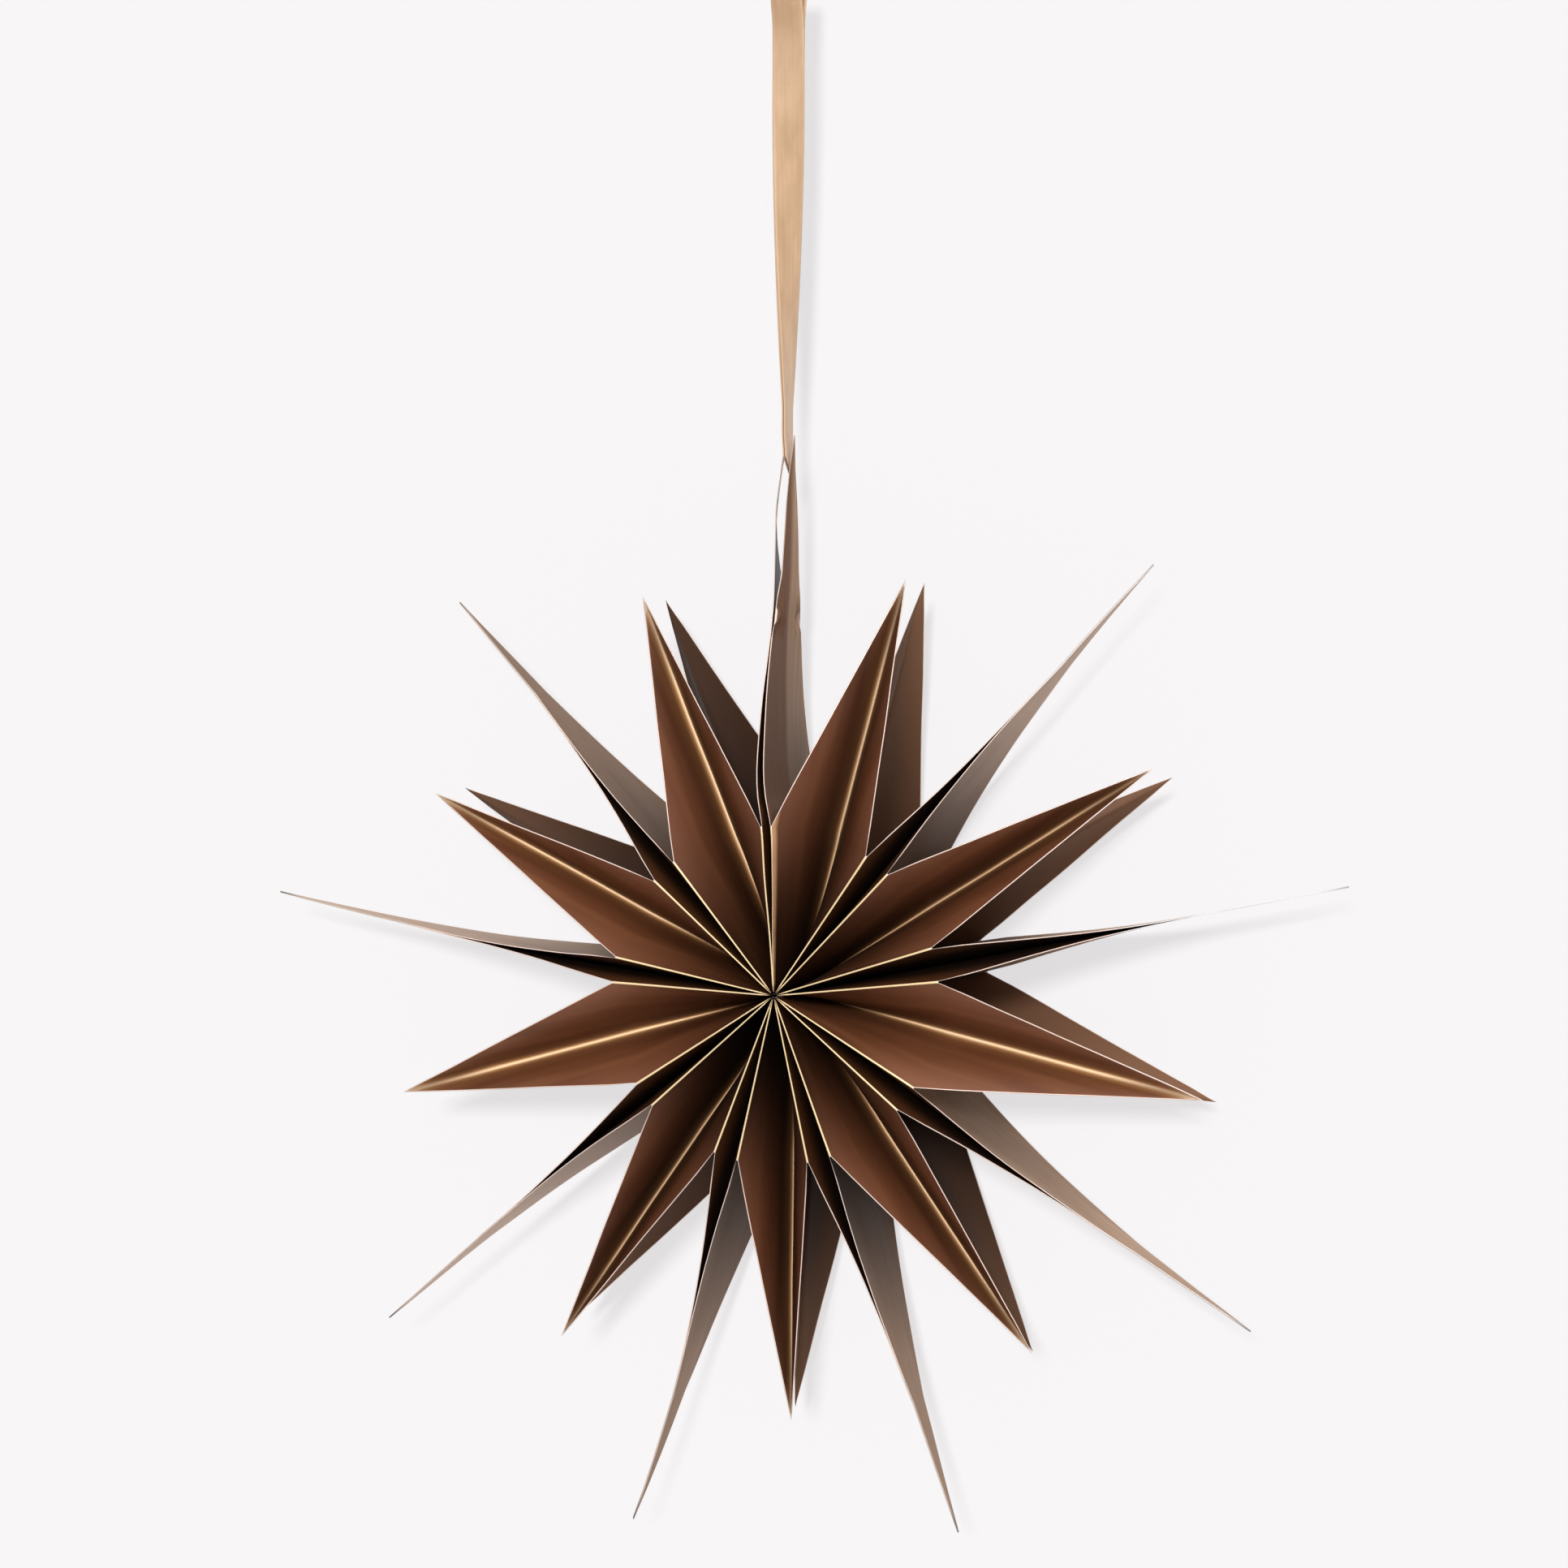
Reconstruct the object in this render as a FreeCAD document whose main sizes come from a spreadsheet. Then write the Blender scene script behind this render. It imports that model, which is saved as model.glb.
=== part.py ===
# Hanging paper star made of nine folded and cut paper bags, with its ribbon.
#
# Nine equal gusseted paper bags are cut to a point through the whole stack, glued face to face
# up their middles and along their bottoms, and fanned round into a full circle.
# Each bag is one folded sheet: two panels, and a pleat (two half gussets that meet in a valley
# fold) between them at the front and at the back.
# Opened out, a bag gives one front point, one back point and half of each long middle point.
# The ribbon is one band, doubled into a loop, with its two ends held between the end panels.
#
# Millimetres. The origin is the inside top of the ribbon's loop, where a hook carries it.
# +Z is up, -Y is the front of the star, and the star's own axis runs along Y.
import FreeCAD
import Part
import math
import os

os.makedirs("parts", exist_ok=True)
doc = FreeCAD.newDocument("paper_star")

# Driving dimensions
SIZES = {
    # One bag, flat: its width runs along the star's axis, its height along a radius
    "bag_half_width": 44.0,
    "gusset_depth": 36.0,
    "notch_height": 65.0,
    "gusset_tip_height": 167.0,
    "point_height": 219.0,
    "paper_gauge": 0.3,
    # The glue on a panel is a strip up its middle, and a band along the bag's bottom
    "glue_half_width": 6.0,
    "bottom_band": 8.0,
    # The star, opened
    "hub_radius": 1.5,
    "ridge_depth": 16.0,
    "petal_bulge": 0.13,
    "first_seam_lean": -1.65,
    # The two end panels meet at the top seam, over the ribbon
    "end_panel_bow": 5.0,
    "bow_height": 172.0,
    "bow_reach": 40.0,
    # Ribbon
    "ribbon_width": 12.7,
    "ribbon_gauge": 0.4,
    "strand_gap": 0.4,
    "ribbon_hold": 18.0,
    "twist_length": 160.0,
    "loop_inner_radius": 5.0,
    "loop_length": 28.0,
    # Where the star hangs below the loop
    "star_drop": 404.0,
    "star_side": 5.8,
}

# The bags opened by hand, so no two are alike. Bags are counted clockwise from the top seam,
# and seam 1 is the top seam, on the left of bag 1.
# Opening of each bag in degrees, taken as a share of the full circle
OPENINGS = [40.8, 39.75, 47.7, 37.3, 33.2, 36.0, 45.1, 39.0, 41.15]
# Angle between the two outer folds at each seam, and how far its middle point sways at the tip
SPREADS = [3.4, 9.4, 11.4, 9.4, 8.2, 8.4, 9.0, 8.6, 9.4]
SWAYS = [0.0, 1.0, 0.0, -0.7, -0.5, 1.2, -1.0, 1.4, 0.0]
# How far each front point and each back point leans out of the middle of its bag
FRONT_LEANS = [-1.5, 0.0, 0.5, -0.5, -0.5, -0.7, -0.7, 0.2, -0.6]
BACK_LEANS = [-1.5, 2.2, 2.2, 3.6, 3.4, 2.7, 1.2, 1.7, -0.6]

PER_BAG = {
    "opening": OPENINGS,
    "spread": SPREADS,
    "sway": SWAYS,
    "front_lean": FRONT_LEANS,
    "back_lean": BACK_LEANS,
}
for name, values in PER_BAG.items():
    for index, value in enumerate(values):
        SIZES[f"{name}_of_{index + 1}"] = value

sheet = doc.addObject("Spreadsheet::Sheet", "Sizes")
for row, (alias, value) in enumerate(SIZES.items(), start=1):
    sheet.set(f"A{row}", alias.replace("_", " "))
    sheet.set(f"B{row}", str(value))
    sheet.setAlias(f"B{row}", alias)
doc.recompute()


def size(alias):
    """The value of one named cell."""
    return float(sheet.get(alias))


def per_bag(name):
    """The nine values of one kind, one for each bag or seam."""
    return [size(f"{name}_of_{index + 1}") for index in range(len(OPENINGS))]


# Sizes that follow from the sheet
bag_count = len(OPENINGS)
half_width = size("bag_half_width")
gusset = size("gusset_depth")
valley_x = half_width - gusset
notch = size("notch_height")
hub = size("hub_radius")
gauge = size("paper_gauge")
circle_share = 360.0 / sum(per_bag("opening"))
openings = [value * circle_share for value in per_bag("opening")]
seams = [size("first_seam_lean") + sum(openings[:index]) for index in range(bag_count + 1)]
spreads = per_bag("spread") + [size("spread_of_1")]
sways = per_bag("sway") + [size("sway_of_1")]
leans = {-1: per_bag("front_lean"), 1: per_bag("back_lean")}
half_strap = size("ribbon_gauge") + size("strand_gap") / 2
point_height = size("point_height")
star_centre = FreeCAD.Vector(size("star_side"), 0, -size("star_drop"))

# Lines along a bag's height that its walls are drawn by, as shares of a half gusset from its
# valley fold out to its outer fold, and heights above the notch as shares of what is left there
GUSSET_LINES = [0.0, 0.3, 0.6, 0.82, 1.0]
ABOVE_NOTCH = [0.25, 0.5, 0.75, 1.0]

AXIS = FreeCAD.Vector(0, 1, 0)


def radial(angle):
    """Unit vector in the star's plane, at a clockwise angle from straight up, in degrees."""
    turn = math.radians(angle)
    return FreeCAD.Vector(math.sin(turn), 0, math.cos(turn))


def clockwise(angle):
    """Unit vector square to radial(angle), on its clockwise side."""
    return radial(angle + 90)


def cut_height(across):
    """Height of the cut outline of a flat bag, at a distance from its middle line."""
    across = abs(across)
    shoulder = size("gusset_tip_height")
    if across <= valley_x:
        return point_height - (point_height - shoulder) * across / valley_x
    return shoulder - (shoulder - notch) * (across - valley_x) / gusset


def smooth(share):
    """A soft step from 0 to 1 as share runs from 0 to 1."""
    share = min(max(share, 0.0), 1.0)
    return share * share * (3 - 2 * share)


def end_panel_gap(seam, side, height):
    """How far an end panel stands off the top seam's plane, for the ribbon and for its bow."""
    if seam not in (0, bag_count):
        return 0.0
    stand_off = half_strap * smooth((height - notch / 3) / notch)
    if side > 0:
        return stand_off
    reach = size("bow_reach")
    away = abs(height - size("bow_height")) / reach
    return stand_off + size("end_panel_bow") * (1 - smooth(away))


def seam_angle(seam, height):
    """The clockwise angle of a seam's plane, which sways above the notch."""
    rise = max(height - notch, 0) / (point_height - notch)
    return seams[seam] + sways[seam] * rise ** 2


def panel_point(seam, side, across, height):
    """A point on the outside of a panel. side is 1 on the clockwise side of the seam, else -1."""
    loose = max(abs(across) - size("glue_half_width"), 0) / (half_width - size("glue_half_width"))
    fan = side * spreads[seam] / 2 * loose ** 4
    angle = seam_angle(seam, height)
    gap = side * end_panel_gap(seam, side, height)
    return radial(angle + fan) * height + clockwise(angle) * gap + AXIS * across


def outer_fold(bag, side, height):
    """Angle and stand-off of a bag's outer fold. side is 1 for its left seam, -1 for its right."""
    seam = bag if side > 0 else bag + 1
    return panel_point(seam, side, half_width, height)


def gusset_point(bag, side, face, share, height):
    """A point on the outside of a half gusset, share 0 at its valley fold and 1 at its outer fold."""
    low = min(height, notch)
    left = outer_fold(bag, 1, low)
    right = outer_fold(bag, -1, low)
    half_gap = FreeCAD.Vector(right.x - left.x, 0, right.z - left.z) / 2
    middle = FreeCAD.Vector(left.x + right.x, 0, left.z + right.z) / 2
    reach = math.sqrt(gusset ** 2 - half_gap.Length ** 2)
    along = FreeCAD.Vector(middle)
    along.normalize()
    rise = max(height - notch, 0) / (size("gusset_tip_height") - notch)
    valley_depth = half_width - reach
    valley_depth += (size("ridge_depth") - valley_depth) * rise
    lean = math.tan(math.radians(leans[face][bag])) * max(height - notch, 0)
    sag = low - middle.Length
    # Sprung paper bulges between the valley fold and the outer fold or the cut edge
    share_at_cut = max(1 - rise, 0.02)
    crown = max(4 * share / share_at_cut * (1 - share / share_at_cut), 0)
    bulge = size("petal_bulge") * crown * share_at_cut
    point = along * (height - sag * share)
    point += half_gap * (side * (bulge * reach / gusset - share))
    point += FreeCAD.Vector(along.z, 0, -along.x) * lean
    deep = valley_depth + reach * share + bulge * half_gap.Length ** 2 / gusset
    return point + AXIS * (face * deep)


# The level lines that every wall has, from the hub up: a bag is open above its bottom band
LOW_LINES = ["hub_radius", "bottom_band", "notch_height"]
first_open_row = LOW_LINES.index("bottom_band")
notch_row = LOW_LINES.index("notch_height")


def rows(top):
    """Heights of the points on one line of a wall that is cut off at top."""
    heights = [size(line) for line in LOW_LINES]
    return heights + [notch + (top - notch) * share for share in ABOVE_NOTCH]


class Facets:
    """Flat facets that are gathered into one closed solid."""

    def __init__(self):
        self.faces = []

    def add(self, *corners):
        """Adds a triangle, or a four-cornered facet as two triangles."""
        for second, third in zip(corners[1:-1], corners[2:]):
            first = corners[0]
            if (second - first).cross(third - first).Length > 1e-7:
                self.faces.append(Part.Face(Part.makePolygon([first, second, third, first])))

    def strip(self, line, other):
        """Adds the facets between two lines of as many points."""
        for index in range(len(line) - 1):
            self.add(line[index], line[index + 1], other[index + 1], other[index])

    def solid(self):
        """Sews the facets into one solid."""
        shell = Part.makeShell(self.faces)
        shell.sewShape()
        solid = Part.makeSolid(Part.Shell(shell.Faces))
        if solid.Volume < 0:
            solid.reverse()
        return solid


def wall_normals(grid, inward):
    """Unit normal at each point of a grid of lines, turned to the side of inward."""
    normals = []
    for i, line in enumerate(grid):
        before = grid[max(i - 1, 0)]
        after = grid[min(i + 1, len(grid) - 1)]
        found = []
        for j in range(len(line)):
            along = line[min(j + 1, notch_row)] - line[max(min(j, notch_row) - 1, 0)]
            row = min(j, notch_row)
            across = after[row] - before[row]
            normal = across.cross(along)
            normal.normalize()
            found.append(normal * (1 if normal.dot(inward) > 0 else -1))
        normals.append(found)
    return normals


def inner_fold(outer, first_normal, second_normal):
    """Where the inner faces of two walls meet, inside a fold whose outside is at outer."""
    total = first_normal + second_normal
    return outer + total * (gauge / (1 + first_normal.dot(second_normal)))


def bag_solid(bag):
    """One bag: a closed bottom, four half gussets and two panels, of even thickness."""
    facets = Facets()
    middle = radial((seams[bag] + seams[bag + 1]) / 2)
    shares = GUSSET_LINES
    widths = [valley_x + gusset * share for share in shares]
    line_places = [-x for x in reversed(widths)] + [0.0] + widths
    outside = {}
    inside = {}

    # Outer and inner points of the two panels
    for side in (1, -1):
        seam = bag if side > 0 else bag + 1
        inward = clockwise(seams[seam]) * side
        grid = [
            [panel_point(seam, side, x, height) for height in rows(cut_height(x))]
            for x in line_places
        ]
        normals = wall_normals(grid, inward)
        outside[side] = grid
        inside[side] = [
            [point + normal * gauge for point, normal in zip(line, found)]
            for line, found in zip(grid, normals)
        ]
        inside[side, "normals"] = normals

    # Outer and inner points of the four half gussets
    for side in (1, -1):
        for face in (1, -1):
            grid = [
                [gusset_point(bag, side, face, share, height) for height in rows(cut_height(x))]
                for share, x in zip(shares, widths)
            ]
            lateral = clockwise((seams[bag] + seams[bag + 1]) / 2)
            normals = wall_normals(grid, lateral * -side)
            outside[side, face] = grid
            inside[side, face] = [
                [point + normal * gauge for point, normal in zip(line, found)]
                for line, found in zip(grid, normals)
            ]
            # At the outer fold the two walls share their outer and their inner edge
            panel_line = -1 if face > 0 else 0
            outside[side][panel_line] = grid[-1]
            for row in range(len(grid[-1])):
                corner = inner_fold(
                    grid[-1][row],
                    normals[-1][min(row, notch_row)],
                    inside[side, "normals"][panel_line][min(row, notch_row)],
                )
                inside[side, face][-1][row] = corner
                inside[side][panel_line][row] = corner

    # Walls: outside, inside and the cut edge between them
    walls = [(side, outside[side], inside[side]) for side in (1, -1)]
    walls += [
        (side, outside[side, face], inside[side, face]) for side in (1, -1) for face in (1, -1)
    ]
    for side, outer, inner in walls:
        for index in range(len(outer) - 1):
            facets.strip(outer[index], outer[index + 1])
            facets.strip(inner[index][first_open_row:], inner[index + 1][first_open_row:])
            facets.add(outer[index][-1], outer[index + 1][-1], inner[index + 1][-1], inner[index][-1])

    # The inside of each valley fold, and the bag's bottom, outside and in
    for face in (1, -1):
        left = inside[1, face][0]
        right = inside[-1, face][0]
        facets.strip(left[first_open_row:], right[first_open_row:])
        facets.add(left[-1], outside[1, face][0][-1], right[-1])
    for table, row in ((outside, 0), (inside, first_open_row)):
        for face in (1, -1):
            order = list(range(len(shares)))
            for side in (1, -1):
                panel = table[side][-len(shares):] if face > 0 else table[side][:len(shares)][::-1]
                for i in order[:-1]:
                    facets.add(
                        panel[i][row],
                        panel[i + 1][row],
                        table[side, face][i + 1][row],
                        table[side, face][i][row],
                    )
        half = len(shares)
        left = [table[1][half - 1][row], table[1][half][row], table[1][half + 1][row]]
        right = [table[-1][half - 1][row], table[-1][half][row], table[-1][half + 1][row]]
        front = [table[1, -1][0][row], table[-1, -1][0][row]]
        back = [table[1, 1][0][row], table[-1, 1][0][row]]
        facets.add(left[1], left[0], front[0], front[1], right[0], right[1])
        facets.add(left[1], left[2], back[0], back[1], right[2], right[1])
    return facets.solid()


def top_seam_point(height):
    """A point in the middle plane of the top seam, at a height along it."""
    return star_centre + radial(seam_angle(0, height)) * height


def strand_path():
    """The ribbon's edge-on path: (offset, centre) up one strand, round the loop and down."""
    inner = size("loop_inner_radius")
    middle = inner + size("ribbon_gauge") / 2
    close = (size("strand_gap") + size("ribbon_gauge")) / 2
    neck = FreeCAD.Vector(0, 0, -size("loop_length"))
    tip = top_seam_point(point_height)
    up = []
    held_runs = 3
    for index in range(held_runs):
        below = size("ribbon_hold") * (1 - index / held_runs)
        up.append((close, top_seam_point(point_height - below)))
    free_runs = 14
    for index in range(free_runs + 1):
        up.append((close, tip + (neck - tip) * (index / free_runs)))
    neck_runs = 5
    for index in range(1, neck_runs + 1):
        share = index / neck_runs
        offset = close + (middle - close) * smooth(share)
        up.append((offset, neck * (1 - share) - FreeCAD.Vector(0, 0, inner * share)))
    arc = []
    arc_runs = 8
    for index in range(1, arc_runs):
        turn = math.pi * index / arc_runs
        rise = FreeCAD.Vector(0, 0, -inner + middle * math.sin(turn))
        arc.append((middle * math.cos(turn), rise))
    down = [(-offset, centre) for offset, centre in reversed(up)]
    return up + arc + down


def ribbon_solid():
    """One band of even thickness, doubled into a loop and given a quarter turn on the way up."""
    facets = Facets()
    path = strand_path()
    twist_top = -size("loop_length") / 2
    twist_bottom = twist_top - size("twist_length")
    half_gauge = size("ribbon_gauge") / 2
    half_ribbon = size("ribbon_width") / 2
    corners = []
    for index, (offset, centre) in enumerate(path):
        offset_before, centre_before = path[max(index - 1, 0)]
        offset_after, centre_after = path[min(index + 1, len(path) - 1)]
        run = FreeCAD.Vector(offset_after - offset_before, 0, centre_after.z - centre_before.z)
        run.normalize()
        turned = (centre.z - twist_bottom) / (twist_top - twist_bottom)
        twist = math.pi / 2 * min(max(turned, 0.0), 1.0)
        face = FreeCAD.Vector(math.cos(twist), -math.sin(twist), 0)
        across = FreeCAD.Vector(math.sin(twist), math.cos(twist), 0)
        place = centre + face * offset
        thick = (face * run.z - FreeCAD.Vector(0, 0, run.x)) * half_gauge
        wide = across * half_ribbon
        corners.append([
            place + wide + thick,
            place - wide + thick,
            place - wide - thick,
            place + wide - thick,
        ])
    # The twisted facets of both faces and of both strands are divided along the same diagonal
    top = len(corners) // 2
    for run, near, far in ((corners[:top + 1], 0, 1), (corners[top:], 1, 0)):
        lines = [[ring[edge] for ring in run] for edge in range(4)]
        facets.strip(lines[near], lines[far])
        facets.strip(lines[3 - near], lines[3 - far])
        facets.strip(lines[1], lines[2])
        facets.strip(lines[3], lines[0])
    facets.add(*corners[0])
    facets.add(*corners[-1])
    return facets.solid()


# The sub-parts
parts = []
for bag in range(bag_count):
    feature = doc.addObject("Part::Feature", f"paper_bag_{bag + 1}")
    feature.Label = f"paper_bag_{bag + 1}"
    feature.Shape = bag_solid(bag)
    feature.Placement = FreeCAD.Placement(star_centre, FreeCAD.Rotation())
    feature.setExpression(".Placement.Base.x", "Sizes.star_side")
    feature.setExpression(".Placement.Base.z", "-Sizes.star_drop")
    parts.append(feature)

ribbon = doc.addObject("Part::Feature", "ribbon")
ribbon.Label = "ribbon"
ribbon.Shape = ribbon_solid()
ribbon.Placement = FreeCAD.Placement()
parts.append(ribbon)

doc.recompute()

for item in doc.Objects:
    if "Invalid" in item.State or "Error" in item.State:
        raise RuntimeError(f"{item.Label} did not build")
for item in parts:
    shape = item.Shape
    if shape.isNull() or not shape.isValid() or len(shape.Solids) != 1:
        raise RuntimeError(f"{item.Label} is not one valid solid")
    shape.exportStep(f"parts/{item.Label}.step")
    print(item.Label, "volume", round(shape.Volume, 1), "faces", len(shape.Faces))
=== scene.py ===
# %% [markdown]
# A hanging paper star. Nine equal gusseted paper bags are cut to a point through the whole
# stack, glued face to face and fanned round into a full circle. A doubled ribbon is held
# between the two end panels at the top seam and carries the star.
# Metres. The origin is the inside top of the ribbon's loop, +Z is up and -Y is the front.

# %% Load the frame
import math

import bpy
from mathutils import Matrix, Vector


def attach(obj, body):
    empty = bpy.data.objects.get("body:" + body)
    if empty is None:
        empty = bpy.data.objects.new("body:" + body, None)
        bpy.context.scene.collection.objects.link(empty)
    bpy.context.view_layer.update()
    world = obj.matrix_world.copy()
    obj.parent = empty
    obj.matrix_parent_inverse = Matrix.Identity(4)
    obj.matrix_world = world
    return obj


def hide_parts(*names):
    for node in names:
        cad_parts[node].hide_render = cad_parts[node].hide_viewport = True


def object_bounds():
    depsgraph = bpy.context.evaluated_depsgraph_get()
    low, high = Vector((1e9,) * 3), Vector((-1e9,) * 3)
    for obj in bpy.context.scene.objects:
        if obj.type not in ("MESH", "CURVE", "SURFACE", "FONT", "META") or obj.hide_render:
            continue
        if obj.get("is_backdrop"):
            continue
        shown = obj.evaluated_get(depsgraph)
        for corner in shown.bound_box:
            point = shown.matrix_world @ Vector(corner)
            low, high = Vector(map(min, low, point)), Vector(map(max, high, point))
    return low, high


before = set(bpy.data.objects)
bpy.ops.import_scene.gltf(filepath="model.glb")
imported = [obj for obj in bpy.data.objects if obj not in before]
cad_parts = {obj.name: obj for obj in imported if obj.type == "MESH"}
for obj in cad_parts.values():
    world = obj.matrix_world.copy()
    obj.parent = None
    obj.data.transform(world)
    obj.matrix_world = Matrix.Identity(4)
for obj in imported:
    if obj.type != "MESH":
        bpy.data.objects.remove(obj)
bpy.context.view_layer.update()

# %% [markdown]
# The camera comes first, because every later choice is judged through it. The picture was
# taken level with the star, about 1.6 m away and 15 degrees round to its right, so the deep
# folds are seen slightly from the side. The whole width of the picture is 0.62 m at the star.

# %% Camera
IMAGE_PIXELS = 1932
STAR_CENTRE = Vector((0.0058, 0.0, -0.404))
VIEW_DISTANCE = 1.6
VIEW_YAW = math.radians(15.24)
METRES_PER_PIXEL = 0.00032
CAMERA_OFFSET = Vector((0.4134, -1.5457, 0.0813))
SENSOR_WIDTH = 36.0

view_way = Vector((-math.sin(VIEW_YAW), math.cos(VIEW_YAW), 0.0))
camera_data = bpy.data.cameras.new("view")
camera_data.sensor_width = SENSOR_WIDTH
half_view = IMAGE_PIXELS / 2 * METRES_PER_PIXEL / VIEW_DISTANCE
camera_data.lens = SENSOR_WIDTH / 2 / half_view
camera = bpy.data.objects.new("view", camera_data)
camera.location = STAR_CENTRE + CAMERA_OFFSET
camera.rotation_euler = view_way.to_track_quat("-Z", "Y").to_euler()
bpy.context.scene.collection.objects.link(camera)
bpy.context.scene.camera = camera
bpy.context.scene.view_settings.view_transform = "Standard"
print("lens", round(camera_data.lens, 2), "mm")

# %% [markdown]
# The sizes are those of one flat bag and of the star as it was opened. Each bag opens by its
# own amount, because a hand fanned it out. The seams are where two bags are glued together,
# counted clockwise from the top, and the middle points of the star stand over them. Lists of
# ten have one value for each seam, with the top seam first and last. Lists of nine have one for
# each bag.

# %% Sizes of the bags and of the star
HALF_WIDTH = 0.044
GUSSET_DEPTH = 0.036
NOTCH_HEIGHT = 0.065
GUSSET_TIP_HEIGHT = 0.167
POINT_HEIGHT = 0.219
RIDGE_DEPTH = 0.016
GLUE_HALF_WIDTH = 0.006
HUB_RADIUS = 0.0015
PAPER_GAUGE = 0.0003
FIRST_SEAM_LEAN = -1.65
OPENINGS = [40.8, 39.75, 47.7, 37.3, 33.2, 36.0, 45.1, 39.0, 41.15]
SPREADS = [0.8, 9.4, 11.4, 9.4, 8.2, 8.4, 9.0, 8.6, 9.4, 4.2]
SWAYS = [0.0, 1.0, 0.0, -0.7, -0.5, 1.2, -1.0, 1.4, 0.0, 0.0]
SPRINGS = [4.0, 4.0, 3.0, 4.0, 4.0, 4.0, 4.0, 4.0, 4.0, 4.0]
GROWTHS = [0.0, -0.002, 0.0, 0.0, 0.001, 0.004, 0.001, 0.005, -0.008, 0.0]
FRONT_LEANS = [-1.5, 0.0, 0.5, -0.5, -0.5, -0.7, -0.7, 0.2, -0.6]
BACK_LEANS = [-1.5, 2.2, 2.2, 3.6, 3.4, 2.7, 1.2, 1.7, -0.6]

BAG_COUNT = len(OPENINGS)
BAG_GIRTH = 4 * (HALF_WIDTH + GUSSET_DEPTH)
HALF_GIRTH = BAG_GIRTH / 2
PANEL_WIDTH = 2 * HALF_WIDTH
VALLEY_PLACE = PANEL_WIDTH + GUSSET_DEPTH
VALLEY_X = HALF_WIDTH - GUSSET_DEPTH
circle_share = 360 / sum(OPENINGS)
seams = [FIRST_SEAM_LEAN + circle_share * sum(OPENINGS[:i]) for i in range(BAG_COUNT + 1)]
print(BAG_COUNT, "bags, each", round(BAG_GIRTH * 1000), "mm round")
print("seams", [round(angle, 1) for angle in seams])

# %% [markdown]
# A node tree is easier to write, and to read, as sums. A Wire is one output of a node, and
# adding or multiplying two wires makes the Math node that does it. The same small class
# serves the folding tree and the materials, because both kinds of tree have Math nodes.

# %% Wires: node outputs that can be added up
class Wire:
    """One node output. Sums of wires and numbers make Math nodes in the same tree."""

    def __init__(self, tree, socket):
        self.tree = tree
        self.socket = socket

    def do(self, operation, *others):
        """A Math node of this wire and the others."""
        return add_node(self.tree, "ShaderNodeMath", 0, (self, *others), operation=operation)

    def __add__(self, other):
        return self.do("ADD", other)

    def __radd__(self, other):
        return self.do("ADD", other)

    def __sub__(self, other):
        return self.do("SUBTRACT", other)

    def __rsub__(self, other):
        return (self * -1) + other

    def __mul__(self, other):
        return self.do("MULTIPLY", other)

    def __rmul__(self, other):
        return self.do("MULTIPLY", other)

    def __truediv__(self, other):
        return self.do("DIVIDE", other)

    def __pow__(self, other):
        return self.do("POWER", other)

    def least(self, other):
        """The smaller of the two."""
        return self.do("MINIMUM", other)

    def most(self, other):
        """The larger of the two."""
        return self.do("MAXIMUM", other)

    def over(self, other):
        """1 where this wire is more than the other, else 0."""
        return self.do("GREATER_THAN", other)

    def step(self, start, end):
        """A soft step from 0 to 1 between start and end."""
        share = ((self - start) / (end - start)).most(0.0).least(1.0)
        return share * share * (3.0 - share * 2.0)


def plug(tree, target, value):
    """Links a wire into a socket, or sets the socket to a number, vector or material."""
    if isinstance(value, Wire):
        tree.links.new(value.socket, target)
    else:
        target.default_value = value


def add_node(tree, kind, output, inputs=(), named=None, **settings):
    """Adds a node, plugs its inputs in order or by name, and gives one output as a wire."""
    node = tree.nodes.new(kind)
    for name, value in settings.items():
        setattr(node, name, value)
    for index, value in enumerate(inputs):
        plug(tree, node.inputs[index], value)
    for name, value in (named or {}).items():
        plug(tree, node.inputs[name], value)
    count = len(tree.nodes)
    node.location = (180 * (count // 12), -170 * (count % 12))
    return Wire(tree, node.outputs[output])


def vector(tree, x, y, z):
    """Three numbers as one vector wire."""
    return add_node(tree, "ShaderNodeCombineXYZ", 0, (x, y, z))


print("wires ready")

# %% [markdown]
# On the real star one bag is a printed sheet, pasted into a tube and pressed flat with a
# pleat along each side. It could be modelled face by face, but nine bags follow one rule and
# differ in a few angles only. So a Geometry Nodes tree takes the flat sheet, as a grid, and
# folds it. Across, the sheet runs round the bag: left panel, front pleat, right panel, back
# pleat. Upwards, it runs from the bottom of the bag to the cut outline.

# No two bags look quite alike. So each also carries a few shares that the materials read: how
# bright the painted highlight on its creases is and how much painted shade lies beside them, how
# much painted light and shade the inside of its panels and its back point get, and whether its
# front half or its core is special.

# %% The folding tree: its inputs
# Shares of each look for bags 1 to 9. The crease, notch, panel and back shares are painted
# highlight, light and shade. A Back Painted Light below 0 is painted shade.
LOOKS = {
    "Crease Painted Highlight": [0.5, 0.55, 1.0, 0.75, 0.5, 0.5, 1.0, 1.0, 0.9],
    "Crease Painted Shade": [0.8, 0.6, 0.05, 0.7, 1.0, 1.0, 0.15, 0.2, 0.65],
    "Notch Painted Shade": [0.6, 0.75, 0.3, 1.0, 0.6, 0.1, 0.3, 0.1, 0.3],
    "Panel Painted Shade": [0.2, 0.0, 0.15, 0.55, 0.5, 0.0, 0.3, 0.25, 0.75],
    "Panel Painted Light": [0.0, 0.4, 0.0, 0.0, 0.0, 0.55, 0.0, 0.3, 0.0],
    "Back Painted Light": [0.25, 0.5, 0.7, -0.4, 0.0, 0.2, 0.5, -0.4, -0.8],
    "Front Brown": [1.0, 0.0, 0.0, 0.0, 0.0, 0.0, 0.0, 0.0, 0.0],
    "White Core": [0.0, 1.0, 1.0, 0.0, 0.0, 0.0, 0.0, 0.0, 0.0],
}
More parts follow.
